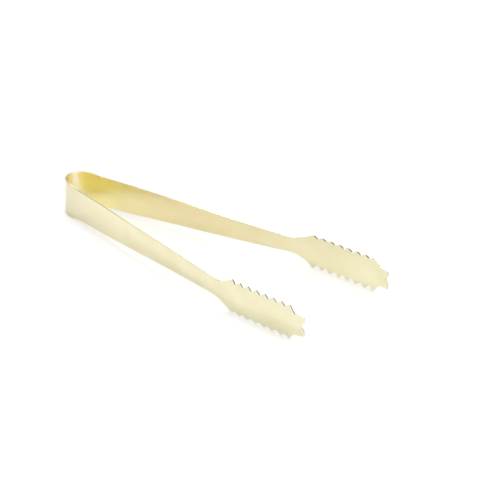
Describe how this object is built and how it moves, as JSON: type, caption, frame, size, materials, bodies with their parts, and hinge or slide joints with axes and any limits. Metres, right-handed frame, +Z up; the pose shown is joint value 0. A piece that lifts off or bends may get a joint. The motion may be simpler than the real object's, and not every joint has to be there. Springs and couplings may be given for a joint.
{
  "type": "ice tongs",
  "caption": "U-bent spring strip tongs with a rounded bow, tapering arms and saw-toothed claws, squeezed by hand to pick up ice.",
  "frame": {"origin": "centre of the bounding box on the plane that the lower edges rest on", "axes": "+X from the spring bow to the claw tips, +Y towards the left arm, +Z up across the width of the strip"},
  "size_m": [0.18, 0.0658, 0.018],
  "materials": {
    "gold_tone_steel": "polished stainless sheet with a pale gold coating, fine lengthwise polishing lines"
  },
  "bodies": {
    "bow": {"spring_bow": "gold_tone_steel"},
    "shoulder_left": {"shoulder_left": "gold_tone_steel"},
    "grip_left": {"grip_left": "gold_tone_steel"},
    "jaw_left": {"outer_arm_left": "gold_tone_steel", "claw_left": "gold_tone_steel"},
    "shoulder_right": {"shoulder_right": "gold_tone_steel"},
    "grip_right": {"grip_right": "gold_tone_steel"},
    "jaw_right": {"outer_arm_right": "gold_tone_steel", "claw_right": "gold_tone_steel"}
  },
  "joints": [
    {"name": "squeeze_left", "type": "hinge", "parent": "bow", "child": "shoulder_left", "pos_m": [-0.07961, 0.0087, 0.009], "axis": [0, 0, -1], "range_deg": [-1, 4.8], "stiffness_Nm_per_rad": 15},
    {"name": "shoulder_flex_left", "type": "hinge", "parent": "shoulder_left", "child": "grip_left", "pos_m": [-0.055, 0.01305, 0.009], "axis": [0, 0, -1], "range_deg": [-0.85, 4.08]},
    {"name": "grip_flex_left", "type": "hinge", "parent": "grip_left", "child": "jaw_left", "pos_m": [-0.02154, 0.01908, 0.009], "axis": [0, 0, -1], "range_deg": [-0.6, 2.88]},
    {"name": "squeeze_right", "type": "hinge", "parent": "bow", "child": "shoulder_right", "pos_m": [-0.07961, -0.0087, 0.009], "axis": [0, 0, 1], "range_deg": [-1, 4.8], "stiffness_Nm_per_rad": 15},
    {"name": "shoulder_flex_right", "type": "hinge", "parent": "shoulder_right", "child": "grip_right", "pos_m": [-0.055, -0.01305, 0.009], "axis": [0, 0, 1], "range_deg": [-0.85, 4.08]},
    {"name": "grip_flex_right", "type": "hinge", "parent": "grip_right", "child": "jaw_right", "pos_m": [-0.02154, -0.01908, 0.009], "axis": [0, 0, 1], "range_deg": [-0.6, 2.88]}
  ],
  "couplings": [
    {"joint": "shoulder_flex_left", "follows": "squeeze_left", "ratio": 0.85},
    {"joint": "grip_flex_left", "follows": "squeeze_left", "ratio": 0.6},
    {"joint": "shoulder_flex_right", "follows": "squeeze_right", "ratio": 0.85},
    {"joint": "grip_flex_right", "follows": "squeeze_right", "ratio": 0.6}
  ]
}
